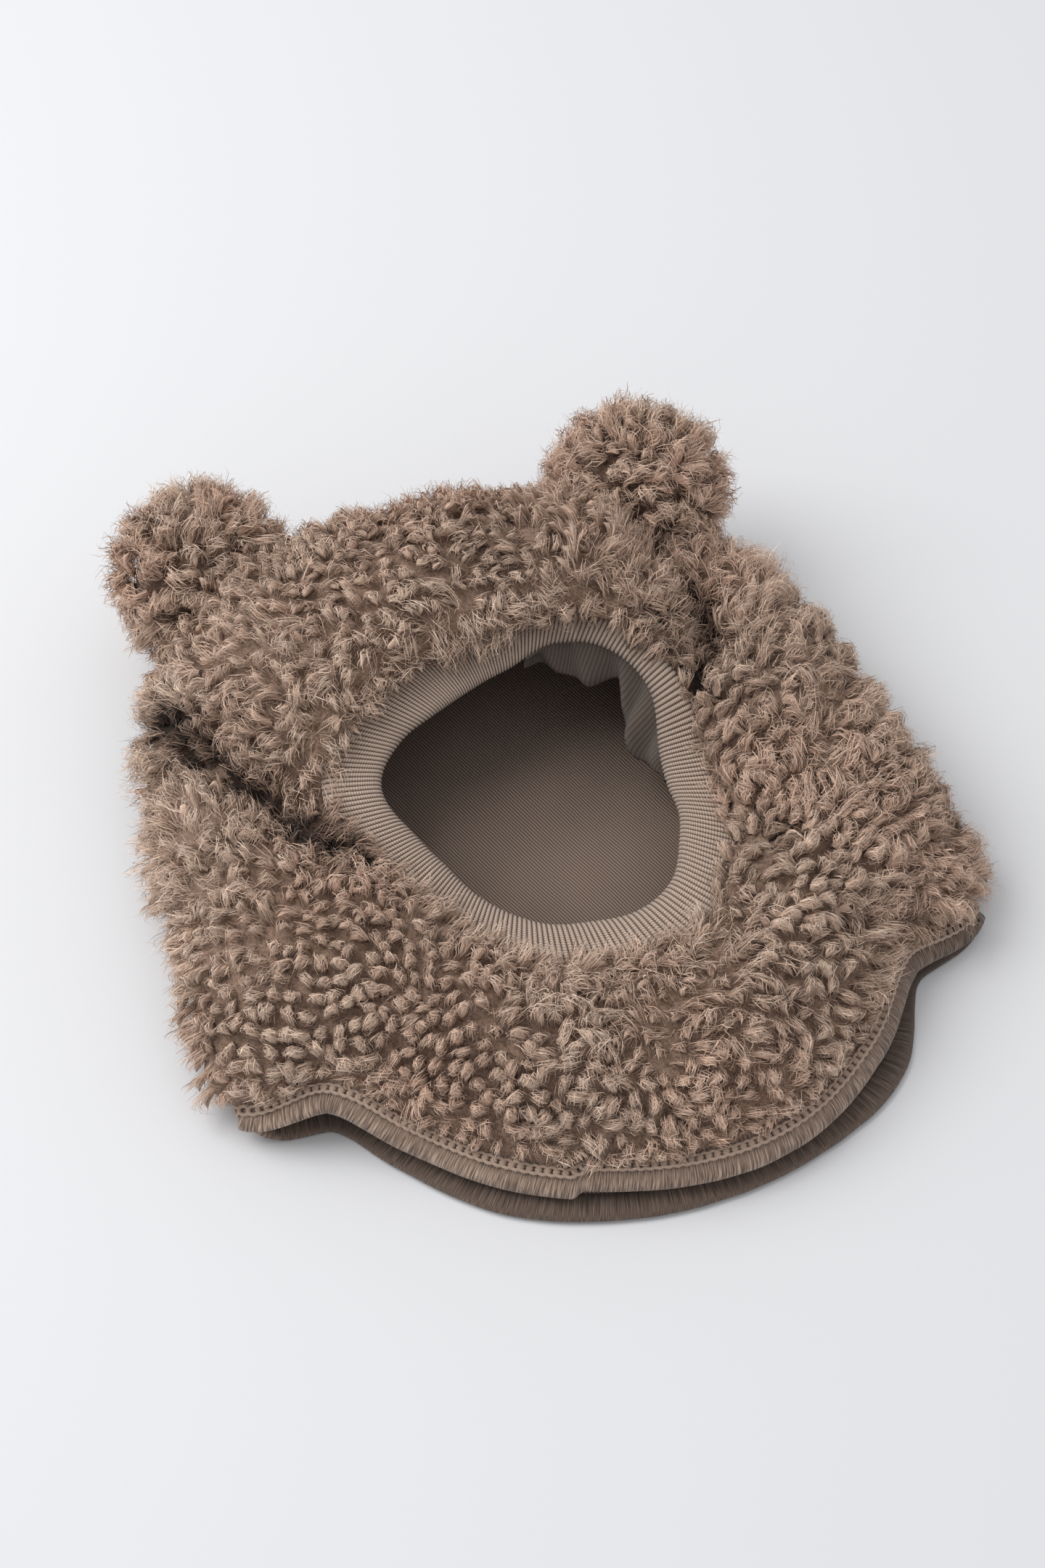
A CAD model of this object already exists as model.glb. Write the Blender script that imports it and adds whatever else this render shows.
# %% [markdown]
# # A toddler's balaclava in curly pile fleece
#
# The real hat is sewn from pile fleece, with a thin jersey lining, a doubled rib band round
# the face, an overlocked neck edge and two padded ears. It lies empty on its back with the
# face opening up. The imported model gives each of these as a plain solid. In this lesson each
# solid is replaced by a piece that follows the same cloth and has the finish of the real one.

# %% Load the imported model
import math

import bpy
import numpy as np
from mathutils import Matrix, Vector
from mathutils.kdtree import KDTree


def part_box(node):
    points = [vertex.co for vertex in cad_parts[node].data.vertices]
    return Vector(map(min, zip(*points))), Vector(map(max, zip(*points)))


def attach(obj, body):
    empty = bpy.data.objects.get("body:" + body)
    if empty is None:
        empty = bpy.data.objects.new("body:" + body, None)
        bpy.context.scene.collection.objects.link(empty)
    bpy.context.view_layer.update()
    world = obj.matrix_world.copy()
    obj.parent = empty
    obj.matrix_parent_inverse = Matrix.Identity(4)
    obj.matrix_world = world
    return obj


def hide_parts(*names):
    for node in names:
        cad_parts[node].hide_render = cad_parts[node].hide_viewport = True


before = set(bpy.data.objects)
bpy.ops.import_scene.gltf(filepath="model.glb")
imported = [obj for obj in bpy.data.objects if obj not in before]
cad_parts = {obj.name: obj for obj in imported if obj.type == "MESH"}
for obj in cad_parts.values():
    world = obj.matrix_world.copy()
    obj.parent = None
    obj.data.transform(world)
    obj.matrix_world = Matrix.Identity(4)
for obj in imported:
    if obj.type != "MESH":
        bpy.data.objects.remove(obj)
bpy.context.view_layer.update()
print("packed nodes:", sorted(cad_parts))

# %% [markdown]
# ## The cloth's measurements
#
# Every piece follows one cloth surface, which runs from the face seam over the crown, chin or
# cheek and on to the neck hem. It could be sculpted by hand, but it has to lie exactly where
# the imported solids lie. So it is drawn from a table of measurements, as a pattern cutter
# would: one row for each direction round the face opening, in shares of the hat's main sizes.

# %% The hat's main sizes, in metres
HOOD_WIDTH = 0.250
HOOD_LENGTH = 0.258
CROWN_HEIGHT = 0.072
OPENING = 0.100
BAND_WIDTH = 0.020
PILE_DEPTH = 0.0080
PRESSED_PILE = 0.0055
SEWN_PILE = 0.0022
LINING_WALL = 0.0012
LINING_GAP = 0.0004
HEM_DEPTH = 0.0095
HEM_TAPER = 0.014
print("hood", HOOD_WIDTH, "by", HOOD_LENGTH, "crown", CROWN_HEIGHT)

# %% How the cloth is shaped between them
FACE_PILE = 0.45  # the pile's height at the face seam, as a share of its height elsewhere
FACE_TAPER = 0.010  # and how far from the seam, in metres, it reaches that height
HEM_FALL = 2.7  # how early the front drops to its hem, where 1 would be a round fold
RIM_TILT = 0.4  # how much of the cloth's slope the front hem keeps
BACK_ROW_WEIGHT = 0.55  # a length on the back counts this much, so its rows are sparser
RIGHT_CORNER = -28.0  # the front hem runs from the left corner to the right one, in degrees
LEFT_CORNER = 213.0
RISE_STEPS, FALL_STEPS, BACK_STEPS, FOLD_STEPS = 20, 60, 60, 128  # points on each line
print("the front hem runs from", LEFT_CORNER, "to", RIGHT_CORNER % 360, "degrees")

# %% The cloth round the face opening
# Columns: angle, lip, lip height, band, seam height, crest at, crest height, edge, edge
# height, edge round, lower hem. Angles run counterclockwise from +X.
SECTIONS = np.array([
    (-28, 1.06, 0.43, 1.08, 0.43, 0.35, 0.53, 1.225, 0.125, 0.5, 1.225),
    (-15, 0.98, 0.44, 1.02, 0.46, 0.38, 0.62, 1.090, 0.20, 1.0, 1.240),
    (0, 0.98, 0.50, 0.85, 0.52, 0.45, 0.69, 0.990, 0.24, 1.0, 1.0),
    (20, 1.08, 0.66, 0.45, 0.70, 0.45, 0.72, 0.990, 0.27, 1.0, 1.0),
    (40, 1.05, 0.76, 0.42, 0.81, 0.35, 0.87, 0.990, 0.32, 1.0, 1.0),
    (60, 0.92, 0.78, 0.45, 0.84, 0.34, 0.97, 0.920, 0.40, 1.0, 1.0),
    (80, 0.72, 0.75, 0.58, 0.82, 0.40, 1.00, 0.875, 0.45, 1.0, 1.0),
    (100, 0.67, 0.73, 0.68, 0.80, 0.43, 1.00, 0.890, 0.45, 1.0, 1.0),
    (118, 0.68, 0.72, 0.76, 0.79, 0.42, 0.97, 0.975, 0.42, 1.0, 1.0),
    (135, 0.74, 0.71, 0.86, 0.78, 0.36, 0.89, 1.055, 0.35, 1.0, 1.0),
    (152, 0.89, 0.65, 0.90, 0.70, 0.31, 0.78, 1.035, 0.29, 1.0, 1.0),
    (172, 0.99, 0.59, 0.95, 0.61, 0.30, 0.67, 0.975, 0.25, 1.0, 1.0),
    (195, 0.87, 0.51, 1.04, 0.52, 0.34, 0.61, 1.015, 0.23, 1.0, 1.180),
    (213, 0.86, 0.47, 1.00, 0.47, 0.30, 0.55, 1.165, 0.16, 0.6, 1.165),
    (223, 0.90, 0.44, 1.00, 0.44, 0.30, 0.53, 1.030, 0.30, 0.0, 1.000),
    (236, 0.98, 0.42, 1.00, 0.42, 0.30, 0.51, 1.020, 0.21, 0.0, 1.030),
    (250, 1.08, 0.41, 1.02, 0.41, 0.30, 0.49, 1.070, 0.175, 0.0, 1.105),
    (262, 1.15, 0.40, 1.06, 0.40, 0.30, 0.48, 1.110, 0.170, 0.0, 1.138),
    (275, 1.18, 0.39, 1.10, 0.39, 0.30, 0.47, 1.145, 0.180, 0.0, 1.162),
    (290, 1.25, 0.40, 1.12, 0.40, 0.30, 0.48, 1.165, 0.195, 0.0, 1.180),
    (305, 1.23, 0.41, 1.12, 0.42, 0.32, 0.50, 1.130, 0.20, 0.0, 1.180),
    (320, 1.12, 0.42, 1.10, 0.42, 0.34, 0.52, 1.090, 0.19, 0.0, 1.085),
])
LIP, LIP_Z, BAND, SEAM_Z, CREST_AT, CREST_Z, EDGE, EDGE_Z, EDGE_ROUND, UNDER = range(1, 11)
print(len(SECTIONS), "directions measured")

# %% The two valleys where the empty hood has sunk in
# Each has a depth in metres, a width in metres and a path seen from above.
HALF = np.array([HOOD_WIDTH, HOOD_LENGTH]) / 2
CREASES = [
    (0.30 * CROWN_HEIGHT, 0.130 * HALF[0],
     HALF * [(0.53, 0.78), (0.57, 0.57), (0.63, 0.40), (0.61, 0.24), (0.54, 0.12)]),
    (0.26 * CROWN_HEIGHT, 0.140 * HALF[0],
     HALF * [(-0.86, 0.46), (-0.78, 0.28), (-0.69, 0.12), (-0.59, -0.05)]),
]
print(len(CREASES), "valleys")

# %% The dark line at the bottom of each valley, and a shallow hollow on the right cheek
FURROWS = [
    np.vstack([CREASES[0][2], HALF * (0.51, 0.05)]),
    HALF * [(-0.90, 0.52), (-0.83, 0.39), (-0.78, 0.28), (-0.72, 0.16), (-0.66, 0.0),
            (-0.58, -0.13), (-0.50, -0.16)],
]
HOLLOW = HALF * [(0.72, 0.20), (0.85, -0.15)]
print(len(FURROWS), "furrows")

# %% [markdown]
# ## From the table to a surface
#
# A smooth curve runs through the table's rows, so the cloth can be asked for at any angle.
# For each angle, a line of points rises from the face seam to the crest, falls to the hood's
# folded edge or the front hem, and turns under to the lower hem. Side by side these lines are
# the cloth. The same few functions serve the fleece, the lining, the band and the hem, which
# is why they are written before any piece is made.

# %% Small helpers for lengths and blends
def unit(vectors):
    return vectors / np.linalg.norm(vectors, axis=-1, keepdims=True)


def smooth(share):
    share = np.clip(share, 0, 1)
    return share * share * (3 - 2 * share)


def bump_at(angles, middle, width):
    """A soft rise of one, centred on an angle and a few degrees wide."""
    away = (angles - middle + 180) % 360 - 180
    return np.exp(-(away / width) ** 2)


def flat(plan):
    """Ways seen from above, with no rise."""
    return np.column_stack([plan, np.zeros(len(plan))])


def read_at(at, along, points):
    """The points at these lengths, on a line whose points have lengths of their own."""
    return np.stack([np.interp(at, along, points[:, k]) for k in range(3)], axis=1)


# %% The measurements at any angle
def section(angles):
    """Every column of the table at these angles, through a cubic that closes on itself."""
    at = SECTIONS[:, 0]
    count = len(at)
    turned = (angles - at[0]) % 360 + at[0]
    here = np.searchsorted(at, turned, side="right") - 1
    rows = [here + step for step in (-1, 0, 1, 2)]
    spots = [at[row % count] + 360.0 * (row // count) for row in rows]
    span = spots[2] - spots[1]
    t = ((turned - spots[1]) / span)[:, None]
    y = [SECTIONS[row % count] for row in rows]
    slope_in = (y[2] - y[0]) * (span / (spots[2] - spots[0]))[:, None]
    slope_out = (y[3] - y[1]) * (span / (spots[3] - spots[1]))[:, None]
    start = (2 * t ** 3 - 3 * t ** 2 + 1) * y[1] + (t ** 3 - 2 * t ** 2 + t) * slope_in
    return (start + (3 * t ** 2 - 2 * t ** 3) * y[2] + (t ** 3 - t ** 2) * slope_out).T


def ellipse(angles, share, width, length):
    turn = np.radians(angles)
    return np.stack([np.cos(turn) * share * width, np.sin(turn) * share * length], -1) / 2


def in_hem(angles):
    return (angles - LEFT_CORNER) % 360 <= (RIGHT_CORNER - LEFT_CORNER) % 360


# %% Distances from a path seen from above
def gap_to_path(points, path):
    """How far each point is from a path, and how far along the path its foot is."""
    starts = path[:-1]
    steps = np.diff(path, axis=0)
    away = points[..., None, :] - starts
    t = np.clip((away * steps).sum(-1) / (steps ** 2).sum(-1), 0, 1)
    gaps = np.linalg.norm(away - t[..., None] * steps, axis=-1)
    nearest = gaps.argmin(-1)[..., None]
    along = (nearest + np.take_along_axis(t, nearest, -1))[..., 0] / len(starts)
    return np.take_along_axis(gaps, nearest, -1)[..., 0], along


def crease_drop(plan):
    drop = np.zeros(plan.shape[:-1])
    for depth, width, path in CREASES:
        gap, along = gap_to_path(plan, path)
        fade = smooth(along / 0.25) * smooth((1 - along) / 0.25) * 0.7 + 0.3
        drop += depth * fade * np.exp(-(gap / width) ** 2)
    return drop


# %% The face seam and the band's lip
def lips(angles):
    table = section(angles)
    plan = ellipse(angles, table[LIP], OPENING, OPENING)
    return np.column_stack([plan, table[LIP_Z] * CROWN_HEIGHT])


def seams(angles):
    table = section(angles)
    lip = lips(angles)[:, :2]
    plan = lip + unit(lip) * BAND_WIDTH * table[BAND][:, None]
    return np.column_stack([plan, table[SEAM_Z] * CROWN_HEIGHT])


# %% The lines of cloth over the front and round the back
def front_lines(angles):
    """From the face seam up to the crest and down to the folded edge or the front hem."""
    table = section(angles)
    seam = seams(angles)[:, None, :2]
    edge = ellipse(angles, table[EDGE], HOOD_WIDTH, HOOD_LENGTH)[:, None]
    crest = seam + (edge - seam) * table[CREST_AT][:, None, None]
    seam_z, crest_z, edge_z = (
        table[row][:, None] * CROWN_HEIGHT for row in (SEAM_Z, CREST_Z, EDGE_Z)
    )
    rise = np.radians(np.arange(RISE_STEPS) * 90 / RISE_STEPS)
    fall = np.radians(np.arange(FALL_STEPS + 1) * 90 / FALL_STEPS)
    rising = seam + (crest - seam) * (1 - np.cos(rise))[:, None]
    falling = crest + (edge - crest) * np.sin(fall)[:, None]
    folded = edge_z + (crest_z - edge_z) * np.cos(fall)
    hanging = edge_z + (crest_z - edge_z) * np.maximum(np.cos(fall), 0) ** HEM_FALL
    height = hanging + (folded - hanging) * table[EDGE_ROUND][:, None]
    plan = np.concatenate([rising, falling], axis=1)
    z = np.concatenate([seam_z + (crest_z - seam_z) * np.sin(rise), height], axis=1)
    return np.dstack([plan, z - crease_drop(plan)])


def back_lines(angles):
    """From the folded edge under the hood to the lower hem, pressed flat by the floor."""
    crown_span = (LEFT_CORNER - RIGHT_CORNER) % 360
    fold = RIGHT_CORNER + crown_span * np.arange(FOLD_STEPS + 1) / FOLD_STEPS
    side = ellipse(fold, section(fold)[EDGE], HOOD_WIDTH, HOOD_LENGTH)
    below = RIGHT_CORNER - (360 - crown_span) * (angles - RIGHT_CORNER) / crown_span
    start = ellipse(angles, section(angles)[EDGE], HOOD_WIDTH, HOOD_LENGTH)[:, None]
    end = ellipse(below, section(below)[UNDER], HOOD_WIDTH, HOOD_LENGTH)[:, None]
    edge_z = section(angles)[EDGE_Z][:, None] * CROWN_HEIGHT
    t = (np.arange(1, BACK_STEPS + 1) / BACK_STEPS) ** 1.6
    plan = start + (end - start) * t[:, None]
    to_hem = np.linalg.norm(end - plan, axis=-1)
    pressed = SEWN_PILE + (PRESSED_PILE - SEWN_PILE) * smooth(to_hem / HEM_TAPER)
    gap, _ = gap_to_path(plan, side)
    rolled = 1 - np.sqrt(1 - (1 - np.minimum(1.0, gap / (edge_z * 1.05))) ** 2)
    return np.dstack([plan, pressed + (edge_z - pressed) * rolled])


# %% The cloth as a grid of columns and rows
def spaced(points, weights, rows):
    """Points at even steps of weighted length along a line."""
    steps = np.linalg.norm(np.diff(points, axis=0), axis=1) * weights
    along = np.concatenate([[0], np.cumsum(steps)])
    return read_at(np.linspace(0, along[-1], rows + 1), along, points)


def cloth(columns, rows):
    """The angles of the columns and the cloth's points, from face seam to neck hem."""
    angles = RIGHT_CORNER + 360.0 * np.arange(columns) / columns
    fronts = front_lines(angles)
    backs = back_lines(angles)
    grid = []
    for angle, front, back in zip(angles, fronts, backs):
        if in_hem(angle):
            grid.append(spaced(front, np.ones(len(front) - 1), rows))
            continue
        weights = np.concatenate([np.ones(len(front) - 1), np.full(len(back), BACK_ROW_WEIGHT)])
        grid.append(spaced(np.concatenate([front, back]), weights, rows))
    return angles, np.array(grid)


def around(grid):
    steps = unit(np.roll(grid, -1, axis=0) - grid)
    return unit(steps + np.roll(steps, 1, axis=0))


def outward(angles, grid):
    """The way out of the cloth, square to the face band and the hem at its rims."""
    steps = unit(np.diff(grid, axis=1))
    along = np.concatenate([steps[:, :1], steps[:, 1:] + steps[:, :-1], steps[:, -1:]], axis=1)
    along = unit(along)
    apart = max(1, round(len(angles) / 50))
    rim = along[:, -1]
    along[:, -1] = sum(np.roll(rim, k, axis=0) for k in range(-apart, apart + 1))
    along[:, 0] = grid[:, 0] - lips(angles)
    along[:, -1, 2] *= np.where(in_hem(angles), RIM_TILT, 0)
    return unit(np.cross(along, around(grid)))


def lengths_along(grid):
    steps = np.linalg.norm(np.diff(grid, axis=1), axis=2)
    return np.concatenate([np.zeros((len(grid), 1)), np.cumsum(steps, axis=1)], axis=1)


def pile_share(grid):
    """How freely the pile stands: 0 where the hem holds it down, 1 out on the hood."""
    from_face = lengths_along(grid)
    near_hem = smooth((from_face[:, -1:] - from_face) / HEM_TAPER)
    near_face = FACE_PILE + (1 - FACE_PILE) * smooth(from_face / FACE_TAPER)
    return near_hem * near_face


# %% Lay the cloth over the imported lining
angles, grid = cloth(360, 90)
out = outward(angles, grid)
layers = np.concatenate([
    grid - out * LINING_GAP, grid - out * (LINING_GAP + LINING_WALL)
]).reshape(-1, 3)
packed_low, packed_high = (np.array(corner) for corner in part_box("lining"))
SHIFT = (packed_low + packed_high - layers.min(0) - layers.max(0)) / 2
SHIFT[2] = packed_low[2] - layers[:, 2].min()
print("the opening's middle sits at", np.round(SHIFT * 1000, 2), "mm from the origin")

# %% [markdown]
# ## A piece from a grid
#
# Cloth is a sheet, so each cloth piece starts as Blender's grid primitive. Its corners are
# then laid on the surface one by one and the two edges that meet are merged, which is what
# sewing a flat piece into a ring does. The primitive brings its own UV map, where U runs
# round the hat and V across the cloth, and knitted patterns can follow that.

# %% Lay a grid on a ring of profiles
def deselect():
    bpy.ops.object.select_all(action="DESELECT")


def spots_of(piece):
    spots = np.empty(len(piece.data.vertices) * 3)
    piece.data.vertices.foreach_get("co", spots)
    return spots.reshape(-1, 3)


def new_grid(name, columns, rows):
    """Blender's grid, and how far across and up it each vertex is, from 0 to 1."""
    deselect()
    bpy.ops.mesh.primitive_grid_add(x_subdivisions=columns, y_subdivisions=rows, size=1)
    piece = bpy.context.object
    piece.name = name
    return piece, spots_of(piece)[:, :2] + 0.5


def ring_of(name, profiles):
    """A tube through profiles, closed round the ring and round each profile."""
    size = profiles.shape[:2]
    piece, shares = new_grid(name, *size)
    piece.data.name = name
    column, row = (np.rint(shares * size).astype(int) % size).T
    laid = profiles[column, row] + SHIFT
    laid[:, 2] = np.maximum(laid[:, 2], 0)
    piece.data.vertices.foreach_set("co", laid.ravel())
    bpy.ops.object.mode_set(mode="EDIT")
    bpy.ops.mesh.select_all(action="SELECT")
    bpy.ops.mesh.remove_doubles(threshold=1e-6)
    bpy.ops.mesh.normals_make_consistent(inside=False)
    bpy.ops.object.mode_set(mode="OBJECT")
    bpy.ops.object.shade_smooth()
    return piece


def finish_piece(piece, material, slot, *nodes):
    piece.data.materials.clear()
    piece.data.materials.append(material)
    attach(piece, "root")
    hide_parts(*nodes)
    piece.data.calc_loop_triangles()
    print(piece.name, len(piece.data.loop_triangles), "triangles")


# %% [markdown]
# ## Node materials without clutter
#
# Each finish is a small node tree round a Principled shader. Fabric scatters light and hardly
# shines, so roughness is high and specular low, and a little sheen gives the soft edge that
# fibres have. Numbers that are the same all over are set on the shader itself.

# %% Start a fabric material and add nodes to it
def fabric(name, sheen=0.15, roughness=0.95):
    made = bpy.data.materials.new(name)
    made.use_nodes = True
    shader = made.node_tree.nodes["Principled BSDF"]
    shader.inputs["Roughness"].default_value = roughness
    shader.inputs["Specular IOR Level"].default_value = 0.15
    shader.inputs["Sheen Weight"].default_value = sheen
    shader.inputs["Sheen Roughness"].default_value = 0.6
    return made, made.node_tree, shader


def feed(tree, socket, value):
    """Link a socket from another one, or set it to a value."""
    if isinstance(value, bpy.types.NodeSocket):
        tree.links.new(value, socket)
    else:
        socket.default_value = value


def add(tree, kind, **values):
    """A node with its properties set and its sockets fed, such as Scale or Vector."""
    made = tree.nodes.new(kind)
    for name, value in values.items():
        socket = made.inputs.get(name.replace("_", " "))
        if socket is None:
            setattr(made, name, value)
        else:
            feed(tree, socket, value)
    return made


def ramp(tree, source, stops):
    """A colour ramp fed by a socket. Each stop is a place and a colour."""
    made = add(tree, "ShaderNodeValToRGB", Fac=source)
    while len(made.color_ramp.elements) < len(stops):
        made.color_ramp.elements.new(0.5)
    for element, (place, colour) in zip(made.color_ramp.elements, stops):
        element.position = place
        element.color = (*colour, 1)
    return made.outputs["Color"]


def multiplied(tree, first, second, factor=1.0):
    """Two colours multiplied, by a factor that may be a socket or a number."""
    made = add(tree, "ShaderNodeMix", data_type="RGBA", blend_type="MULTIPLY")
    for number, value in ((0, factor), (6, first), (7, second)):
        feed(tree, made.inputs[number], value)
    return made.outputs[2]


def noise(tree, vector, scale, detail, roughness=0.5):
    return add(
        tree, "ShaderNodeTexNoise", Vector=vector, Scale=scale, Detail=detail, Roughness=roughness
    ).outputs["Fac"]


def math_node(tree, operation, *values):
    made = add(tree, "ShaderNodeMath", operation=operation)
    for socket, value in zip(made.inputs, values):
        feed(tree, socket, value)
    return made.outputs[0]


def dress(tree, shader, colour, height, distance):
    """Feed the shader a colour, and a bump from a height and a distance."""
    bump = add(tree, "ShaderNodeBump", Height=height, Distance=distance)
    feed(tree, shader.inputs["Normal"], bump.outputs["Normal"])
    feed(tree, shader.inputs["Base Color"], colour)


# %% [markdown]
# ## The pile fleece
#
# Pile fleece is a knitted backing with fine curled fibres standing in locks. A bump map can't
# give its soft broken outline, and one solid curl a lock would look like dough. So there are
# two layers. An undercoat, a closed wall with a low mound under every lock, fills the gaps.
# On it stand the locks, each a soft tuft wrapped in thin ribbons that run up to its tip. First
# comes the finish that both share.

# %% The fleece's colour, from dark roots to pale tips
# The locks carry two attributes. In "pile", red is the height in the lock, green its warmth
# and blue a chance number for each fibre. "strand_way" runs along and round the lock.
fleece, tree, shader = fabric("fleece", sheen=0.1)
pile = add(tree, "ShaderNodeAttribute", attribute_name="pile")
split = add(tree, "ShaderNodeSeparateColor", Color=pile.outputs["Color"])
taupe = ramp(tree, split.outputs["Red"], [
    (0.0, (0.036, 0.023, 0.017)),
    (0.10, (0.160, 0.104, 0.075)),
    (0.32, (0.500, 0.358, 0.272)),
    (0.64, (0.840, 0.640, 0.502)),
    (1.0, (0.985, 0.805, 0.665)),
])
warm = multiplied(tree, taupe, (1.0, 0.82, 0.76, 1), split.outputs["Green"])
spread = ramp(tree, split.outputs["Blue"], [(0.0, (0.78,) * 3), (1.0, (1.10,) * 3)])
way = add(tree, "ShaderNodeAttribute", attribute_name="strand_way")
streaks = noise(tree, way.outputs["Vector"], 1.0, 2.0, 0.6)
streaked = ramp(tree, streaks, [(0.36, (0.66, 0.64, 0.62)), (0.62, (1.14,) * 3)])
dress(tree, shader, multiplied(tree, multiplied(tree, warm, spread), streaked), streaks, 0.0005)
print("fleece finish has", len(tree.nodes), "nodes")

# %% [markdown]
# ## Where the locks stand
#
# Locks are neither in rows nor scattered anyhow: each keeps its neighbours at arm's length.
# Throwing points at the surface and keeping only those that land clear of the rest gives
# just that. Points on the pressed underside, under the ears and at the bottom of the furrows
# are left out, because the locks there are flattened and never seen.

# %% Scatter points that keep clear of each other
RANDOM = np.random.default_rng(7)


def scattered(grid, weights, spacing, throws):
    """Cells and places in them, chosen by area and then thinned to a least spacing."""
    after = np.roll(grid, -1, axis=0)
    across = after[:, 1:] - grid[:, :-1]
    back = after[:, :-1] - grid[:, 1:]
    area = np.linalg.norm(np.cross(across, back), axis=2) * weights
    cells = RANDOM.choice(area.size, throws, p=(area / area.sum()).ravel())
    i, j = np.unravel_index(cells, area.shape)
    u, v = RANDOM.random((2, throws, 1))
    places = (
        grid[i, j] * (1 - u) * (1 - v) + after[i, j] * u * (1 - v)
        + after[i, j + 1] * u * v + grid[i, j + 1] * (1 - u) * v
    )
    taken = {}
    kept = []
    for number, place in enumerate(places):
        home = tuple(np.floor(place / spacing).astype(int))
        near = [
            other
            for x in (-1, 0, 1) for y in (-1, 0, 1) for z in (-1, 0, 1)
            for other in taken.get((home[0] + x, home[1] + y, home[2] + z), ())
        ]
        if near and (((np.array(near) - place) ** 2).sum(1)).min() < spacing ** 2:
            continue
        taken.setdefault(home, []).append(place)
        kept.append(number)
    return i[kept], j[kept], places[kept]


# %% Where each ear sits
# Place in shares of the half width, the half length and the crown's height, then the ear's
# lean and turn in degrees.
EAR_SIZE = (0.060, 0.044, 0.058)
EARS = {"ear_left": (-0.665, 0.955, 0.50, 40, 35), "ear_right": (0.600, 0.835, 0.66, 38, -25)}


def ear_place(name):
    """The transform that seats a ball one metre wide as this ear."""
    x, y, z, lean, turn = EARS[name]
    spot = Matrix.Translation((x * HALF[0], y * HALF[1], z * CROWN_HEIGHT))
    heading = Matrix.Rotation(math.radians(turn), 4, "Z")
    tilt = Matrix.Rotation(math.radians(-90 + lean), 4, "X")
    return np.array(spot @ heading @ tilt @ Matrix.Diagonal((*EAR_SIZE, 1)))


def in_ears(points):
    """How far out each point is in the nearest ear, as a share of the ear's half size."""
    shares = []
    for name in EARS:
        back = np.linalg.inv(ear_place(name))
        shares.append(np.linalg.norm(points @ back[:3, :3].T + back[:3, 3], axis=-1) * 2)
    return np.minimum(*shares)


# %% How deep in a furrow each point is
def furrow_gap(plan):
    """Distance from the nearest furrow, less where the furrow is wide, halfway along."""
    gaps = []
    for path in FURROWS:
        gap, along = gap_to_path(plan, path)
        gaps.append(gap / (0.75 + 0.55 * np.sin(math.pi * along)))
    return np.minimum(*gaps)


def in_furrow(points, width):
    """One on a furrow's line, falling to nothing over a few widths."""
    return np.exp(-(furrow_gap(points[..., :2]) / width) ** 2) * (points[..., 2] > 0.012)


def from_furrow(points):
    """The way from the nearest furrow, seen from above."""
    plan = points[:, :2]
    step = 0.0005
    slopes = [furrow_gap(plan + way) - furrow_gap(plan - way) for way in np.eye(2) * step]
    return unit(flat(np.transpose(slopes)) + 1e-9)


# %% Throw the hood's locks
LOCK_SPACING = 0.0044
THROWS = 60000
free = pile_share(grid)
middles = (grid[:, :-1] + np.roll(grid, -1, axis=0)[:, 1:]) / 2
facing = (out[:, :-1] + out[:, 1:])[..., 2] / 2
# No lock stands on the pressed underside, at the stitched rim, under an ear or in a furrow.
seen = (facing > -0.35) & (free[:, 1:] > 0.09)
seen &= in_ears(middles + out[:, 1:] * PILE_DEPTH) > 0.92
seen &= in_furrow(middles, 0.0035) < 0.5
column, row, places = scattered(grid, seen, LOCK_SPACING, THROWS)
count = len(places)
ups = unit(out[column, row])
stands = free[column, row] ** 0.6
print(count, "locks on the hood")

# %% [markdown]
# ## How the locks are combed
#
# The pile lies differently over the hat. On the bib's left the locks are short knobs that curl
# on the spot, on the right side they are thick curls that run outwards, and on the crown they
# lean down to the face band. Everywhere they gather in small clumps, and they part along the
# furrows. Each lock therefore gets its own height, length, curl and way, blended from a few
# areas by where it stands, with some chance in every number.

# %% Where every lock stands, as shares from 0 to 1
plan_angle = np.degrees(np.arctan2(places[:, 1] / HALF[1], places[:, 0] / HALF[0])) % 360
from_face = lengths_along(grid)
to_hem = (from_face[:, -1:] - from_face)[column, row]
near_hem = 1 - smooth(to_hem / 0.020)
at_hem = 1 - smooth(to_hem / 0.011)
on_side = 1 - smooth((ups[:, 2] - 0.1) / 0.5)
furrow = in_furrow(places, 0.0065)
hollow = np.exp(-(gap_to_path(places[:, :2], HOLLOW)[0] / 0.011) ** 2)
right_side = np.maximum(bump_at(plan_angle, 8, 40), bump_at(plan_angle, -28, 30))
crown = bump_at(plan_angle, 95, 45)
upper_right = bump_at(plan_angle, 42, 26)
near_band = 1 - smooth(from_face[column, row] / 0.018)
near_band = near_band * (1 - 0.8 * right_side * (1 - upper_right))
rim = np.maximum(np.maximum(near_hem, near_band), on_side)
knobbly = bump_at(plan_angle, 232, 30) * (1 - rim)
print(round(float(rim.mean() * 100)), "% of the pile lies near a rim")

# %% Comb every lock
CLUMP_SIZE = 0.0055


def chance(low, high, count):
    return RANDOM.uniform(low, high, count)


def either_way(low, high, count):
    return chance(low, high, count) * RANDOM.choice([-1, 1], count)


def slow_noise(points, scale, seed):
    """A soft value from -1 to 1 that changes over about one scale, the same on every run."""
    waves = np.random.default_rng(seed).normal(size=(6, 3)) / scale
    phase = np.random.default_rng(seed + 1).uniform(0, 6.28, 6)
    return np.sin(points @ waves.T + phase).mean(1) * 1.6


def turned_flat(ways, degrees):
    """Ways seen from above, each turned counterclockwise by its own angle."""
    turn = np.radians(degrees)[:, None]
    left = ways[:, :2] @ [[0, 1], [-1, 0]]
    return flat(ways[:, :2] * np.cos(turn) + left * np.sin(turn))


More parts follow.
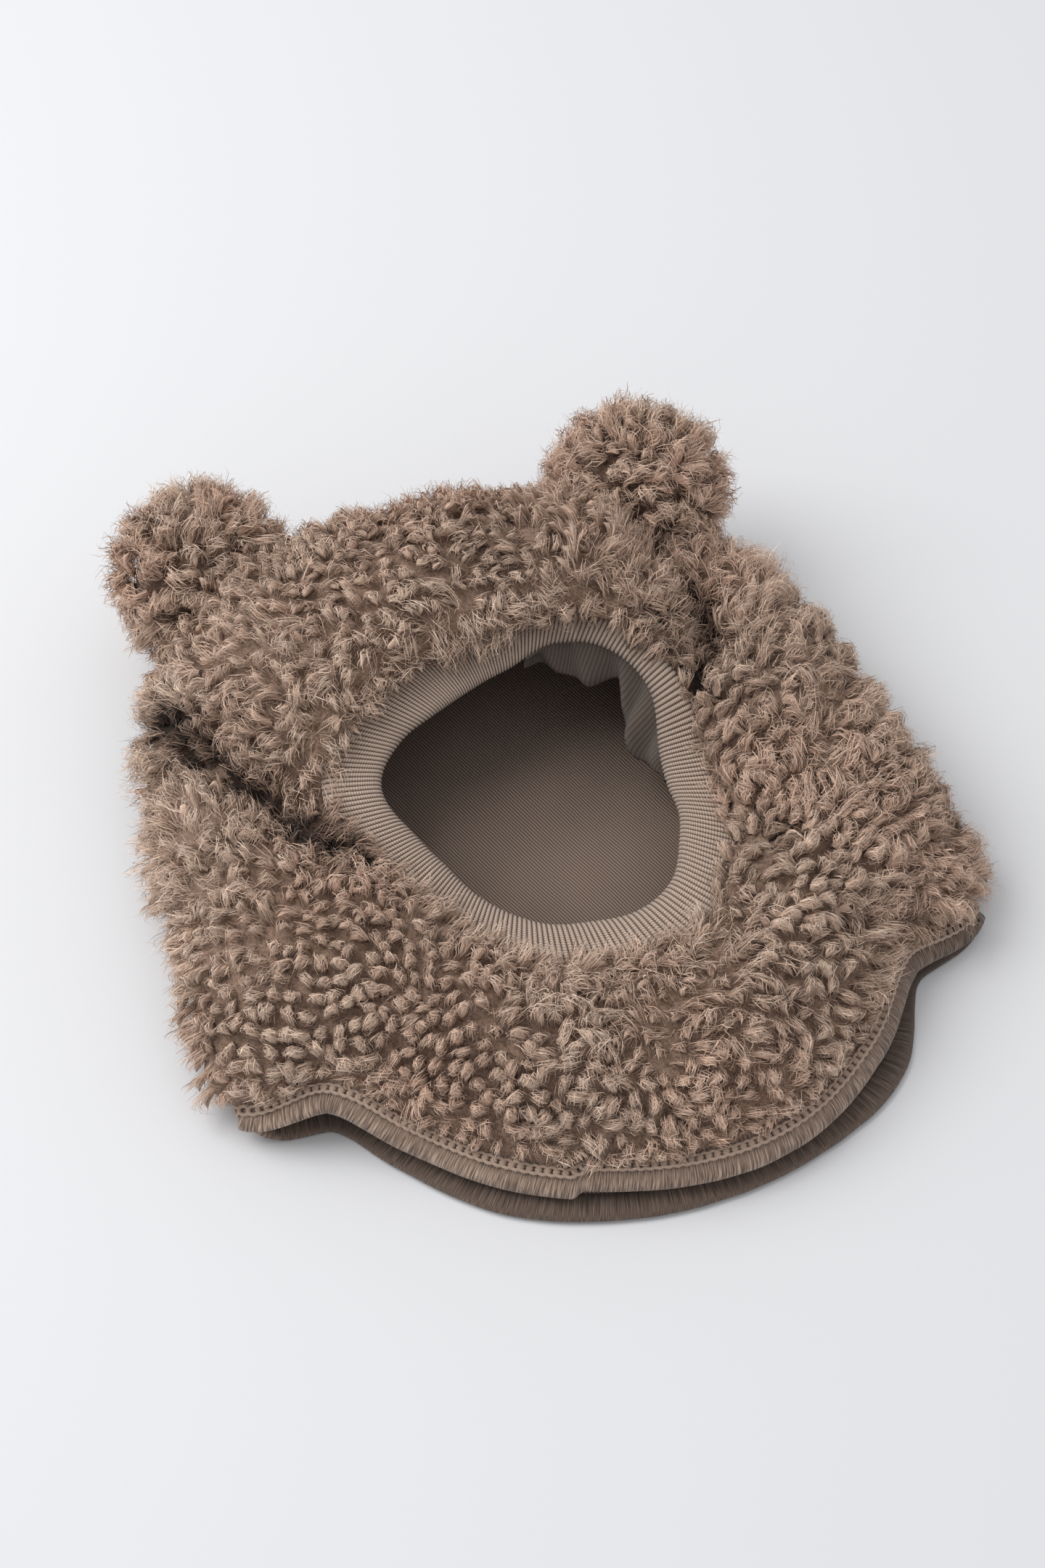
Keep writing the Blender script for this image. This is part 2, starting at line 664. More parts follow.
clumps = slow_noise(places, CLUMP_SIZE, 31)
to_clump = unit(np.column_stack([
    slow_noise(places + way, CLUMP_SIZE, 31) - slow_noise(places - way, CLUMP_SIZE, 31)
    for way in np.eye(3) * 0.0004
]) + 1e-9)
radial = unit(flat(places[:, :2]))
# Swing and inwards are the degrees that a lock turns from straight outwards.
swing = 75 * slow_noise(places, 0.017, 3) + chance(-48, 48, count) * (1 - 0.4 * right_side)
swing = swing * (1 - 0.45 * right_side) * (1 - 0.65 * rim)
inwards = 160 * np.maximum(crown * (1 - on_side), near_band)
comb = turned_flat(radial, swing + 22 * right_side * (1 - near_band) + inwards)
comb = comb - 0.5 * on_side[:, None] * np.array([0, 0, 1])
comb = comb + (0.4 + 0.35 * right_side)[:, None] * (1 - rim)[:, None] * to_clump
comb = comb + 1.6 * in_furrow(places, 0.011)[:, None] * from_furrow(places)
comb = unit(comb - ups * (comb * ups).sum(1, keepdims=True))
print("combed", len(comb), "locks")

# %% Shape every lock on the hood
# Lengths are in metres. "light" is added to the shade, "lean" goes from a knob at 0 to a curl
# that lies over its neighbour at 1, and "fluff" is how far the fibres stand off.
LOCK_THICKNESS = 0.0029
small = 0.62 + 0.38 * stands
height = (0.0045 + 0.0058 * stands) * (1 - 0.25 * furrow) * (1 + 0.20 * clumps - 0.2 * hollow)
longer = 1 + 0.15 * right_side + 0.30 * rim - 0.25 * knobbly
redder = smooth(0.35 + 0.6 * slow_noise(places, 0.022, 5)) * 0.32
leaning = 0.55 + 0.5 * slow_noise(places, 0.020, 17) + 0.3 * rim - 0.8 * knobbly - 0.3 * right_side
loose = 0.45 + 0.7 * slow_noise(places, 0.016, 13) + 0.5 * rim - 0.6 * knobbly
locks = {
    "place": places, "up": ups, "comb": comb,
    "height": height * chance(0.80, 1.16, count),
    "thick": LOCK_THICKNESS * chance(0.75, 1.25, count) * small * (1 + 0.16 * right_side),
    "length": chance(0.0056, 0.0084, count) * longer * small * (1 - 0.35 * at_hem),
    "curl": either_way(0.5, 1.7, count) * (1 + 0.5 * right_side),
    "twist": either_way(0.2, 1.5, count),
    "warmth": redder + chance(0, 0.15, count),
    "light": 0.06 * slow_noise(places, 0.02, 9) + chance(-0.07, 0.07, count) - 0.62 * furrow
    + 0.05 * on_side + (0.10 + 0.12 * right_side) * clumps - 0.16 * hollow,
    "lean": smooth(leaning) * (1 - 0.7 * at_hem),
    "fluff": 0.50 + 0.20 * crown - 0.4 * furrow - 0.2 * right_side + smooth(loose),
}
print("lock heights in mm:", np.round(np.percentile(locks["height"] * 1000, [5, 50, 95]), 1))

# %% [markdown]
# ## Tufts, wisps and fibres
#
# A lock's middle line rises from the backing, bends over the way the pile is combed and curls
# aside, while the lock swells and then tapers to a tip. Some locks curl down into knobs, and
# others lay their tips over the next lock like shingles. A soft closed-over tuft gives it body
# and catches the broad light. Over the tuft run short ribbons that twist round it and cross a
# little. The broad ones are wisps, and the thin ones are single fibres, which stand off and
# blur the outline. There are tens of thousands, so they are made as arrays and joined in a few
# meshes, one for each area of the hat.

# %% The middle line and the girth of every lock
def per_lock(locks, pick):
    """The picked locks' numbers, shaped so that they spread over ribbons and steps."""
    one = {}
    for key, value in locks.items():
        one[key] = value[pick].reshape(int(pick.sum()), 1, 1, -1)
    one["side"] = np.cross(one["up"], one["comb"])
    return one


def lock_line(one, t):
    """Middle and radius of the locks at t, from the root at 0 to the tip at 1.

    A lock that doesn't lean is an arch whose two ends are down, which shows as a knob. One
    that leans rises from its root and lays its tip over the next lock.
    """
    lean = one["lean"]
    swell = np.sin(math.pi * (0.20 + 0.75 * np.minimum(t, 1)))
    radius = one["thick"] * np.maximum(swell, 0) ** 0.6
    ahead = (t - 0.42) * (1 - lean) + (1.15 * t - 0.28) * lean
    arch = 1 - 1.5 * (t - 0.42) ** 2
    flame = 0.30 + 0.80 * smooth(t / 0.75) - 0.16 * t ** 2
    aside = one["side"] * one["curl"] * one["length"] * 0.30 * t ** 2
    rise = one["height"] * (arch * (1 - lean) + flame * lean) - 0.8 * radius
    return one["place"] + one["comb"] * one["length"] * ahead + aside + one["up"] * rise, radius


# %% The tuft inside each lock
TUFT_SIDES = 6
TUFT_RINGS = 4


def coloured(shade, one, luck):
    """The pile attribute: height, warmth and a chance number."""
    blank = 0 * shade
    return np.concatenate([np.clip(shade, 0, 1), one["warmth"] + blank, luck + blank, 1 + blank], -1)


def tipped(rings, tip):
    """The rings of every lock one after the other, closed by its tip."""
    return np.concatenate([rings[:, :-1].reshape(len(rings), -1, rings.shape[-1]), tip], axis=1)


def tufts(locks, pick):
    """Vertices, colours and strand ways of one soft body in every picked lock.

    Strand ways are stretched along the lock, so that the finish's noise becomes streaks.
    """
    one = per_lock(locks, pick)
    count = len(one["place"])
    t = np.linspace(0.0, 1.0, TUFT_RINGS + 1)[:, None, None]
    turn = np.radians(np.arange(TUFT_SIDES) * 60.0)[:, None] + one["twist"] * t
    middle, radius = lock_line(one, t)
    push = one["side"] * np.cos(turn) + one["up"] * np.sin(turn)
    lumps = RANDOM.uniform(0.60, 0.95, (count, TUFT_RINGS + 1, TUFT_SIDES, 1))
    points = middle + push * radius * lumps * (0.98 - 0.26 * one["fluff"])
    lit = np.maximum(np.sin(turn), 0)
    shade = 0.15 + 0.30 * lit + 0.14 * t + one["light"]
    colour = coloured(shade, one, RANDOM.random((count, 1, 1, 1)))
    own = RANDOM.uniform(0, 900, (count, 1, 1, 1))
    way = np.concatenate([
        t * one["length"] * 260 + 0 * shade, turn * 3.4 + 0 * shade, own + 0 * shade
    ], axis=3)
    return (
        tipped(points, middle[:, -1]), tipped(colour, colour[:, -1, :1]), tipped(way, way[:, -1, :1])
    )


def tuft_faces():
    faces = []
    for ring in range(TUFT_RINGS - 1):
        for side in range(TUFT_SIDES):
            here, there = ring * TUFT_SIDES, (ring + 1) * TUFT_SIDES
            after = (side + 1) % TUFT_SIDES
            faces.append((here + side, here + after, there + after, there + side))
    last = (TUFT_RINGS - 1) * TUFT_SIDES
    for side in range(TUFT_SIDES):
        faces.append((last + side, last + (side + 1) % TUFT_SIDES, TUFT_RINGS * TUFT_SIDES))
    return faces


print("a tuft has", len(tuft_faces()), "faces")

# %% Ribbons over the locks
# Each kind has how many a lock carries, its steps, greatest width, how far it stands off the
# lock as a share of the lock's radius, how freely it wanders and how much of the lock it spans.
KINDS = {
    "wisps": (6, 4, 0.00058, 0.10, 0.5, (0.38, 0.66)),
    "fibres": (34, 3, 0.00027, 0.40, 1.4, (0.36, 0.66)),
    "halo": (22, 3, 0.00021, 0.85, 2.4, (0.45, 0.85)),
}
INNERMOST = 0.72  # how near a ribbon comes to the lock's middle, as a share of its radius


def ribbons(locks, pick, kind):
    """Vertices, colours and strand ways of one kind of ribbon over the picked locks."""
    each, steps, width, off, loose, span = KINDS[kind]
    one = per_lock(locks, pick)
    count = len(one["place"])
    shape = (count, each, 1, 1)
    s = np.linspace(0, 1, steps + 1)[:, None]
    first = RANDOM.uniform(-0.06, 0.50, shape)
    t = first + RANDOM.uniform(*span, shape) * s
    middle, radius = lock_line(one, t)
    layer = RANDOM.uniform(INNERMOST, 1 + off * one["fluff"], shape)
    radius = np.maximum(radius, one["thick"] * 0.35) * layer * (0.85 + 0.15 * smooth(s / 0.3))
    radius = radius + s ** 2 * RANDOM.uniform(0, 0.0018, shape) * loose * one["fluff"]
    turn = np.radians(RANDOM.uniform(-35, 215, shape)) + one["twist"] * (t - 0.4)
    turn = turn + RANDOM.normal(0, 0.25 + 0.40 * loose, shape) * s
    push = one["side"] * np.cos(turn) + one["up"] * np.sin(turn)
    tangent = one["up"] * np.cos(turn) - one["side"] * np.sin(turn)
    crimp = (0.0002 + 0.0003 * loose) * np.sin(2 * math.pi * (1.2 * s + RANDOM.random(shape)))
    points = middle + push * radius + tangent * crimp
    points = points + one["up"] * 0.0012 * loose * np.maximum(t - 0.7, 0)
    ahead = np.gradient(points, axis=2)
    edge = unit(np.cross(ahead, push + tangent * RANDOM.normal(0, 0.25, shape)))
    taper = np.sin(math.pi * (0.25 + 0.75 * s)) ** 0.7
    wide = width * RANDOM.uniform(0.7, 1.3, shape) * taper
    sides = np.stack([points - edge * wide / 2, points + edge * wide / 2], axis=3)
    verts = np.concatenate([
        sides[:, :, :-1].reshape(count, each, 2 * steps, 3), points[:, :, -1:]
    ], axis=2)
    depth = (layer - INNERMOST) / (1 - INNERMOST + off)
    lit = np.maximum(np.sin(turn), 0)
    shade = 0.17 + 0.32 * lit + 0.18 * s + 0.16 * depth + one["light"]
    shade = shade + RANDOM.normal(0, 0.05, shape)
    colour = coloured(shade, one, RANDOM.random(shape))
    colours = np.concatenate([np.repeat(colour[:, :, :-1], 2, axis=2), colour[:, :, -1:]], axis=2)
    along = np.append(np.repeat(np.arange(steps), 2), steps) * one["length"][:, :, 0] * 120 / steps
    across = np.append(np.tile([-0.5, 0.5], steps), 0) * width * 3600
    own = RANDOM.uniform(0, 900, (count, each, 1))
    blank = 0 * along + 0 * own
    ways = np.stack([along + own, across + blank, own + blank], axis=3)
    return verts, colours, ways


def ribbon_faces(steps):
    """A strip of squares with a triangle at its tip."""
    faces = [(2 * k, 2 * k + 1, 2 * k + 3, 2 * k + 2) for k in range(steps - 1)]
    return faces + [(2 * steps - 2, 2 * steps - 1, 2 * steps)]


# %% Join many copies of one small pattern of faces
def joined(name, verts, faces, size):
    """A mesh of copies that have the same faces, each with its own vertices."""
    copies = len(verts) // size
    corners = np.concatenate([np.array(face) for face in faces])
    loops = (np.arange(copies)[:, None] * size + corners).ravel()
    sides = np.tile([len(face) for face in faces], copies)
    mesh = bpy.data.meshes.new(name)
    mesh.vertices.add(len(verts))
    mesh.vertices.foreach_set("co", verts.ravel())
    mesh.loops.add(len(loops))
    mesh.loops.foreach_set("vertex_index", loops)
    mesh.polygons.add(len(sides))
    mesh.polygons.foreach_set("loop_start", np.concatenate([[0], np.cumsum(sides)[:-1]]))
    mesh.polygons.foreach_set("use_smooth", np.ones(len(sides), bool))
    mesh.update(calc_edges=True)
    piece = bpy.data.objects.new(name, mesh)
    bpy.context.scene.collection.objects.link(piece)
    return piece


def paint(piece, colours, ways):
    """Give a piece the two attributes that the fleece's finish reads."""
    layer = piece.data.color_attributes.new("pile", "FLOAT_COLOR", "POINT")
    layer.data.foreach_set("color", colours.ravel())
    layer = piece.data.attributes.new("strand_way", "FLOAT_VECTOR", "POINT")
    layer.data.foreach_set("vector", ways.ravel())


def hair_piece(name, hair, faces, size, node):
    verts, colours, ways = hair
    verts = verts.reshape(-1, 3) + SHIFT
    verts[:, 2] = np.maximum(verts[:, 2], 0.0002)
    piece = joined(name, verts, faces, size)
    paint(piece, colours, ways)
    finish_piece(piece, fleece, "fleece", node)


def locks_pieces(name, locks, pick, node):
    """The tufts and every kind of ribbon of the picked locks."""
    size = TUFT_RINGS * TUFT_SIDES + 1
    hair_piece(name + "_tufts", tufts(locks, pick), tuft_faces(), size, node)
    for kind, (_, steps, *_) in KINDS.items():
        hair = ribbons(locks, pick, kind)
        hair_piece(name + "_" + kind, hair, ribbon_faces(steps), 2 * steps + 1, node)


# %% The hood's locks, area by area
AREAS = {
    "right_cheek": (-36, 28), "crown_right": (28, 88), "crown_left": (88, 150),
    "left_cheek": (150, 222), "bib_left": (222, 276), "bib_right": (276, 324),
}
for name, (first, last) in AREAS.items():
    inside = (plan_angle - first) % 360 < last - first
    locks_pieces(name, locks, inside, "fleece_hood")

# %% [markdown]
# ## The undercoat
#
# Between the fibres one looks down on more fibres, not on bare knit. The undercoat stands in
# for those: the outer face of the wall has a mound under every lock and a dark furrow between
# them, and the inner face is the backing. Each point of the grid finds the lock nearest to it
# and rises by how close it is, which is quicker and softer than modelling each mound.

# %% Raise a mound under every lock
MOUND_RADIUS = 0.0042
UNDERCOAT_COLUMNS, UNDERCOAT_ROWS, BACKING_ROWS = 300, 64, 7


def tree_of(points):
    """Blender's tree for finding the point that is nearest to a place."""
    tree = KDTree(len(points))
    for number, point in enumerate(points):
        tree.insert(point, number)
    tree.balance()
    return tree


tree_of_locks = tree_of(places)


def from_lock(points):
    """How far each point is from the middle of the nearest lock."""
    gaps = [tree_of_locks.find(point)[2] for point in points.reshape(-1, 3)]
    return np.array(gaps).reshape(points.shape[:-1])


fine_angles, fine = cloth(UNDERCOAT_COLUMNS, UNDERCOAT_ROWS)
fine_out = outward(fine_angles, fine)
share = pile_share(fine)
mound = np.clip(1 - (from_lock(fine) / MOUND_RADIUS) ** 2, 0, 1)
rise = SEWN_PILE + (0.0006 + 0.0032 * mound) * share
pressed = smooth((-fine_out[..., 2] - 0.3) / 0.3)
rise = rise + (PRESSED_PILE - rise) * pressed * smooth(share)
rise = rise * (1 - 0.6 * in_furrow(fine, 0.005))
outer = fine + fine_out * rise[..., None]
backing = fine[:, ::-1][:, np.linspace(0, UNDERCOAT_ROWS, BACKING_ROWS).astype(int)]
undercoat = ring_of("undercoat", np.concatenate([outer, backing], axis=1))
print("mounds stand", round(float((rise * share).max() * 1000), 1), "mm high")

# %% Colour the undercoat, darkest away from the locks and in the furrows
ROOTS = (0.10, 0.25, 0.5, 1.0)  # the "pile" attribute down between the locks
STRANDS_A_METRE = 900
spots = spots_of(undercoat)
tints = np.tile(ROOTS, (len(spots), 1))
tints[:, 0] += 0.25 * np.maximum(0, 1 - from_lock(spots - SHIFT) / 0.009)
tints[:, 0] *= 1 - in_furrow(spots - SHIFT, 0.008)
paint(undercoat, tints, spots * STRANDS_A_METRE)
finish_piece(undercoat, fleece, "fleece", "fleece_hood")

# %% [markdown]
# ## The padded ears
#
# Each ear is a little stuffed cushion of the same fleece, flattened front to back and sewn to
# the crown. It starts as a UV sphere, which has the round form at once. The sphere is seated
# by a transform, its lower side is pressed flat on the hood, and the same kind of locks, but
# fluffier, stand all over what shows.

# %% Find how high a point is above the hood's cloth
flat_cloth = fine.reshape(-1, 3)
flat_out = fine_out.reshape(-1, 3)
tree_of_cloth = tree_of(flat_cloth)


def above_cloth(points):
    """Height over the nearest bit of cloth, and the way out of the cloth there."""
    nearest = [tree_of_cloth.find(point)[1] for point in points]
    ways = flat_out[nearest]
    return ((points - flat_cloth[nearest]) * ways).sum(1), ways


# %% Shape one ear's undercoat
EAR_CORE = 0.86
EAR_SEAT = PILE_DEPTH + 0.0006


def ear_body(name):
    """A ball seated by the ear's transform, with its lower side pressed on the hood."""
    deselect()
    bpy.ops.mesh.primitive_uv_sphere_add(segments=48, ring_count=32, radius=0.5 * EAR_CORE)
    ear = bpy.context.object
    ear.name = name + "_undercoat"
    place = ear_place(name)
    spots = spots_of(ear) @ place[:3, :3].T + place[:3, 3]
    depth, ways = above_cloth(spots)
    spots = spots + ways * np.maximum(0, EAR_SEAT - depth)[:, None] + SHIFT
    ear.data.vertices.foreach_set("co", spots.ravel())
    ear.data.update()
    bpy.ops.object.shade_smooth()
    paint(ear, np.tile(ROOTS, len(spots)), spots * STRANDS_A_METRE)
    return ear


# %% Stand locks all over one ear
EAR_PILE = {"ear_left": 0.0105, "ear_right": 0.0090}
EAR_LOCKS = 240


def ear_locks(name):
    """Locks on a ball, one every golden angle, without those that the hood hides."""
    place = ear_place(name)
    number = np.arange(EAR_LOCKS) + 0.5
    lift = np.arccos(1 - 2 * number / EAR_LOCKS)
    turn = number * math.pi * (1 + 5 ** 0.5)
    ball = np.column_stack([np.sin(lift) * np.cos(turn), np.sin(lift) * np.sin(turn), np.cos(lift)])
    ball = unit(ball + RANDOM.normal(0, 0.03, ball.shape))
    places = ball * 0.5 * (EAR_CORE - 0.03) @ place[:3, :3].T + place[:3, 3]
    ups = unit(ball @ np.linalg.inv(place[:3, :3]))
    shown = above_cloth(places)[0] > EAR_SEAT - 0.001
    places, ups = places[shown], ups[shown]
    count = len(places)
    away = places - place[:3, 3] + RANDOM.normal(0, 0.010, (count, 3))
    comb = unit(away - ups * (away * ups).sum(1, keepdims=True))
    return {
        "place": places, "up": ups, "comb": comb,
        "height": EAR_PILE[name] * chance(0.80, 1.12, count),
        "thick": LOCK_THICKNESS * chance(0.82, 1.2, count),
        "length": chance(0.0060, 0.0088, count),
        "curl": either_way(0.3, 1.3, count),
        "twist": either_way(0.2, 1.5, count),
        "warmth": smooth(0.35 + 0.6 * slow_noise(places, 0.011, 5)) * 0.45 + chance(0, 0.2, count),
        "light": chance(-0.03, 0.09, count),
        "fluff": chance(1.1, 1.6, count),
        "lean": chance(0.2, 0.9, count),
    }


# %% Make both ears
for name in EARS:
    body = ear_body(name)
    finish_piece(body, fleece, "fleece", name)
    curls = ear_locks(name)
    locks_pieces(name, curls, np.ones(len(curls["height"]), bool), name)

# %% [markdown]
# ## The jersey lining
#
# The lining is a thin knit that hangs just inside the fleece. Seen through the face opening
# it is a wide quiet surface, with fine wales that run slantwise up it and a few slack folds
# where it lies on the back. A ring of thin profiles gives the two faces of the cloth,
# and the wales are far too fine to model, so they are a wave in the material.

# %% Slack folds in the lining
def slack(points):
    """Low folds that lie across the back of the lining, in metres inwards."""
    x, y = points[..., 0], points[..., 1]
    low = smooth((0.030 - points[..., 2]) / 0.015)
    waves = np.sin(x * 95 + 2.2 * np.sin(y * 38)) * 0.5 + np.sin(y * 120 - x * 60) * 0.5
    ridge = np.exp(-((y - 0.016 + 0.20 * x) / 0.004) ** 2)
    return low * (0.0007 + 0.0007 * waves + 0.0011 * ridge)


sheet_angles, sheet = cloth(200, 48)
sheet_out = outward(sheet_angles, sheet)
fold = slack(sheet)
fold[:, 0] = 0
fold[:, -1] = 0
face = sheet - sheet_out * LINING_GAP
inside = sheet - sheet_out * (LINING_GAP + LINING_WALL + fold)[..., None]
lining = ring_of("lining_jersey", np.concatenate([face, inside[:, ::-1]], axis=1))
print("lining folds up to", round(float(fold.max() * 1000), 2), "mm")

# %% The jersey's finish
jersey, tree, shader = fabric("jersey", sheen=0.1)
place = add(tree, "ShaderNodeTexCoord").outputs["Object"]
turned = add(tree, "ShaderNodeMapping", Vector=place, Rotation=(0, 0, math.radians(-24)))
wales = add(
    tree, "ShaderNodeTexWave", Vector=turned.outputs["Vector"],
    Scale=300.0, Distortion=1.6, Detail=1.0, Detail_Scale=0.25,
).outputs["Fac"]
lines = ramp(tree, wales, [(0.0, (0.090, 0.063, 0.049)), (1.0, (0.310, 0.229, 0.183))])
soft = ramp(tree, noise(tree, place, 28.0, 3.0), [(0.3, (0.90,) * 3), (0.7, (1.08, 1.07, 1.06))])
relief = math_node(tree, "MULTIPLY_ADD", noise(tree, place, 1500.0, 3.0), 0.35, wales)
dress(tree, shader, multiplied(tree, lines, soft), relief, 0.00018)
finish_piece(lining, jersey, "lining", "lining")

# %% [markdown]
# ## The rib band round the face
#
# The band is a strip of one-and-one rib, folded double and sewn in, so its free edge is a
# soft roll. Its wales are about two millimetres apart and catch the light one by one, so they
# are real ridges in the mesh: the strip's profile is swept round the opening and every wale
# pushes it out a little. The stitches along each wale are finer and come as bump.

# %% The face seam as a line of places and directions
WALES = 220
IN_A_WALE = np.array([0.0, 0.13, 0.30, 0.50, 0.70, 0.87])
WALE_SHAPE = np.array([-1.0, 0.15, 0.80, 1.0, 0.80, 0.15])
wale_starts = np.arange(WALES)[:, None] + IN_A_WALE
band_angles = RIGHT_CORNER + 360.0 * wale_starts.ravel() / WALES
seam = seams(band_angles)
reach = lips(band_angles) - seam
round_it = unit(np.roll(seam, -1, axis=0) - np.roll(seam, 1, axis=0))
band_up = unit(np.cross(-reach, round_it))
uneven = 1 + 0.05 * np.sin(np.radians(band_angles * 3 + 40))
band_width = np.linalg.norm(reach, axis=1) * uneven
print("the band is", np.round(np.percentile(band_width * 1000, [0, 50, 100]), 1), "mm wide")

# %% Sweep the band's profile
# Each stop is a share of the way to the lip and a share of the half thickness.
BAND_STOPS = [
    (-0.06, 0.15), (0.02, 0.75), (0.12, 1.0), (0.28, 1.05), (0.44, 1.08), (0.60, 1.10),
    (0.74, 1.10), (0.86, 1.02), (0.94, 0.80), (0.985, 0.42), (1.0, 0.0), (0.985, -0.42),
    (0.94, -0.80), (0.86, -1.0), (0.66, -1.0), (0.42, -0.95), (0.18, -0.80), (0.0, -0.45),
]
BAND_WALL = 0.0034
WALE_HEIGHT = 0.00035
PROFILE_SIZE = (0.016, 0.002)  # gives the stops real proportions when their way out is found


def swept(stops, start, reach, up, width, wall, relief):
    """Profiles along a strip, with each point pushed out of the strip by its relief."""
    stops = np.array(stops)
    round_it = stops * PROFILE_SIZE
    flow = np.roll(round_it, -1, 0) - np.roll(round_it, 1, 0)
    outs = unit(np.column_stack([flow[:, 1], -flow[:, 0]])) * -1
    return np.stack([
        start + reach * (width * share) + up * (wall / 2 * side)
        + (reach * across + up * above) * relief[:, None]
        for (share, side), (across, above) in zip(stops, outs)
    ], axis=1)


relief = WALE_HEIGHT * np.tile(WALE_SHAPE, WALES)
band = ring_of("rib_band", swept(
    BAND_STOPS, seam, unit(reach), band_up, band_width[:, None], BAND_WALL, relief
))
print("the band has", WALES, "wales")

# %% A knitted finish along the piece's own UV map
STITCH_ROWS = 58


def along_and_across(tree):
    """The sockets of how far round the piece and how far across it a place is."""
    uv = add(tree, "ShaderNodeUVMap").outputs["UV"]
    axes = add(tree, "ShaderNodeSeparateXYZ", Vector=uv)
    return axes.outputs["X"], axes.outputs["Y"]


def knitted(name, wales, groove, flank, top):
    made, tree, shader = fabric(name)
    along, across = along_and_across(tree)
    turns = math_node(tree, "MULTIPLY", along, wales * 2 * math.pi)
    ridge = math_node(tree, "MULTIPLY_ADD", math_node(tree, "COSINE", turns), -0.5, 0.5)
    vees = math_node(tree, "ABSOLUTE", math_node(tree, "SINE", turns))
    rows_up = math_node(tree, "MULTIPLY", across, STITCH_ROWS * 2 * math.pi)
    slant = math_node(tree, "MULTIPLY_ADD", vees, 1.6, rows_up)
    stitch = math_node(tree, "MULTIPLY_ADD", math_node(tree, "SINE", slant), 0.5, 0.5)
    knit = ramp(tree, ridge, [(0.0, groove), (0.25, flank), (1.0, top)])
    loops = ramp(tree, stitch, [(0.0, (0.58, 0.56, 0.54)), (0.6, (1.10,) * 3)])
    grain = noise(tree, add(tree, "ShaderNodeTexCoord").outputs["Object"], 1300.0, 3.0)
    relief = math_node(tree, "MULTIPLY_ADD", grain, 0.5, stitch)
    dress(tree, shader, multiplied(tree, knit, loops), relief, 0.00015)
    return made


rib = knitted("rib", WALES, (0.110, 0.076, 0.058), (0.370, 0.280, 0.223), (0.590, 0.462, 0.378))
finish_piece(band, rib, "rib", "face_band")

# %% [markdown]
# ## The loose inner leg of the band
#
# On the upper right the doubled band has come apart: its inner leg hangs below the lip in a
# few soft folds and shows its knit. A cloth simulation would find folds of its own, but these
# folds are seen close, so the leg is a grid hung from the lip, and a short table says how far
# it hangs and swings in for each direction. A Solidify modifier then gives it a wall.

# %% How far the inner leg hangs
# Columns: angle, how far it swings in and how far it hangs, both in millimetres.
INNER_LEG = np.array([
    (-12, 0.2, 1.0), (-4, 1.0, 5.0), (0, 2.5, 9.0), (4, 5.0, 12.0), (8, 7.5, 15.0),
    (12, 10.0, 16.0), (17, 12.0, 14.5), (22, 10.5, 14.5), (26, 8.0, 11.0), (29, 5.0, 8.0),
    (33, 3.0, 7.5), (38, 4.0, 11.0), (44, 7.0, 14.0), (52, 6.0, 12.0), (60, 2.5, 9.0),
    (68, 0.8, 5.0), (74, 0.0, 1.5),
])
LEG_COLUMNS = 172
LEG_ROWS = 16
LEG_WALL = 0.0011
leg_angles = np.linspace(INNER_LEG[0, 0], INNER_LEG[-1, 0], LEG_COLUMNS + 1)
soften = np.hanning(11) / np.hanning(11).sum()


def leg_measure(k):
    """One column of the table at every angle, softened and in metres."""
    read = np.interp(leg_angles, INNER_LEG[:, 0], INNER_LEG[:, k])
    return np.convolve(np.pad(read, 5, "edge"), soften, "valid") / 1000


leg_swing, leg_hang = leg_measure(1), leg_measure(2)
print("the inner leg hangs up to", round(float(leg_hang.max() * 1000), 1), "mm")

# %% Hang the inner leg
leg_lip = lips(leg_angles)
to_middle = unit(flat(-leg_lip[:, :2]))
leg, shares = new_grid("band_inner_leg", LEG_COLUMNS, LEG_ROWS)
at = np.rint(shares[:, 0] * LEG_COLUMNS).astype(int)
down = 1 - shares[:, 1]
folds = 0.0015 * np.sin(leg_angles[at] * 0.42 + 2.4 * down) * np.sin(math.pi * down * 0.8)
inward = -0.0014 + leg_swing[at] * smooth(down * 1.15) + folds
laid = leg_lip[at] + to_middle[at] * inward[:, None] + SHIFT
laid[:, 2] -= 0.0006 + (leg_hang[at] + 0.001) * down
leg.data.vertices.foreach_set("co", laid.ravel())
bpy.ops.object.modifier_add(type="SOLIDIFY")
leg.modifiers["Solidify"].thickness = LEG_WALL
bpy.ops.object.modifier_apply(modifier="Solidify")
bpy.ops.object.shade_smooth()
print("hung", len(leg.data.vertices), "vertices")

# %% Give the inner leg wales a little finer than the band's
uv_layer = leg.data.uv_layers.active.data
marks = np.empty(len(uv_layer) * 2)
uv_layer.foreach_get("uv", marks)
marks = marks.reshape(-1, 2) * [(leg_angles[-1] - leg_angles[0]) / 360, 1]
uv_layer.foreach_set("uv", marks.ravel())
leg_knit = knitted(
    "leg_knit", WALES * 1.15, (0.085, 0.062, 0.049), (0.125, 0.092, 0.073), (0.175, 0.132, 0.105)
)
finish_piece(leg, leg_knit, "rib", "face_band")

# %% [markdown]
# ## The overlocked neck hem
#
# The neck edge holds fleece and lining together under a wrap of thread about nine millimetres
# deep, with a row of knots on the fleece's side. The roll is swept along the hem as the band
# was. The wrapped threads are a fine slanting pattern along it, and the knots are one small
# torus, copied all the way round.

